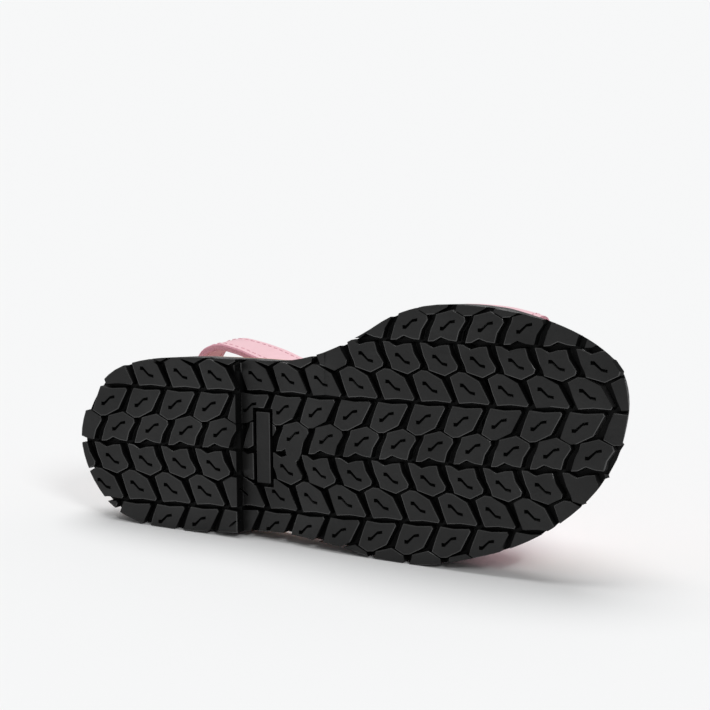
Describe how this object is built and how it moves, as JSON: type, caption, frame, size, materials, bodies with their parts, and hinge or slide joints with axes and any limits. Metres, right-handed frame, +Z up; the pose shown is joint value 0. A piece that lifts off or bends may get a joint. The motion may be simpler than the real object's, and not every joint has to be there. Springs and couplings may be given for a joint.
{
  "type": "avarca sandal",
  "caption": "Open-toe leather sandal with a heel strap and a lugged rubber sole with a low heel, left shoe, lying on its outer side.",
  "frame": {"origin": "centre of the shoe's box at the surface the shoe lies on", "axes": "+X from heel to toe, +Y from the tread to the upper, +Z up, towards the inner side of the foot"},
  "size_m": [0.1856, 0.0662, 0.0781],
  "materials": {
    "outsole": "moulded black rubber, satin",
    "footbed": "smooth tan leather",
    "vamp": "soft pink leather with a fine grain",
    "heel_strap": "soft pink leather with a fine grain"
  },
  "bodies": {
    "root": {"outsole": "outsole", "footbed": "footbed", "vamp": "vamp", "heel_strap": "heel_strap"}
  },
  "joints": []
}
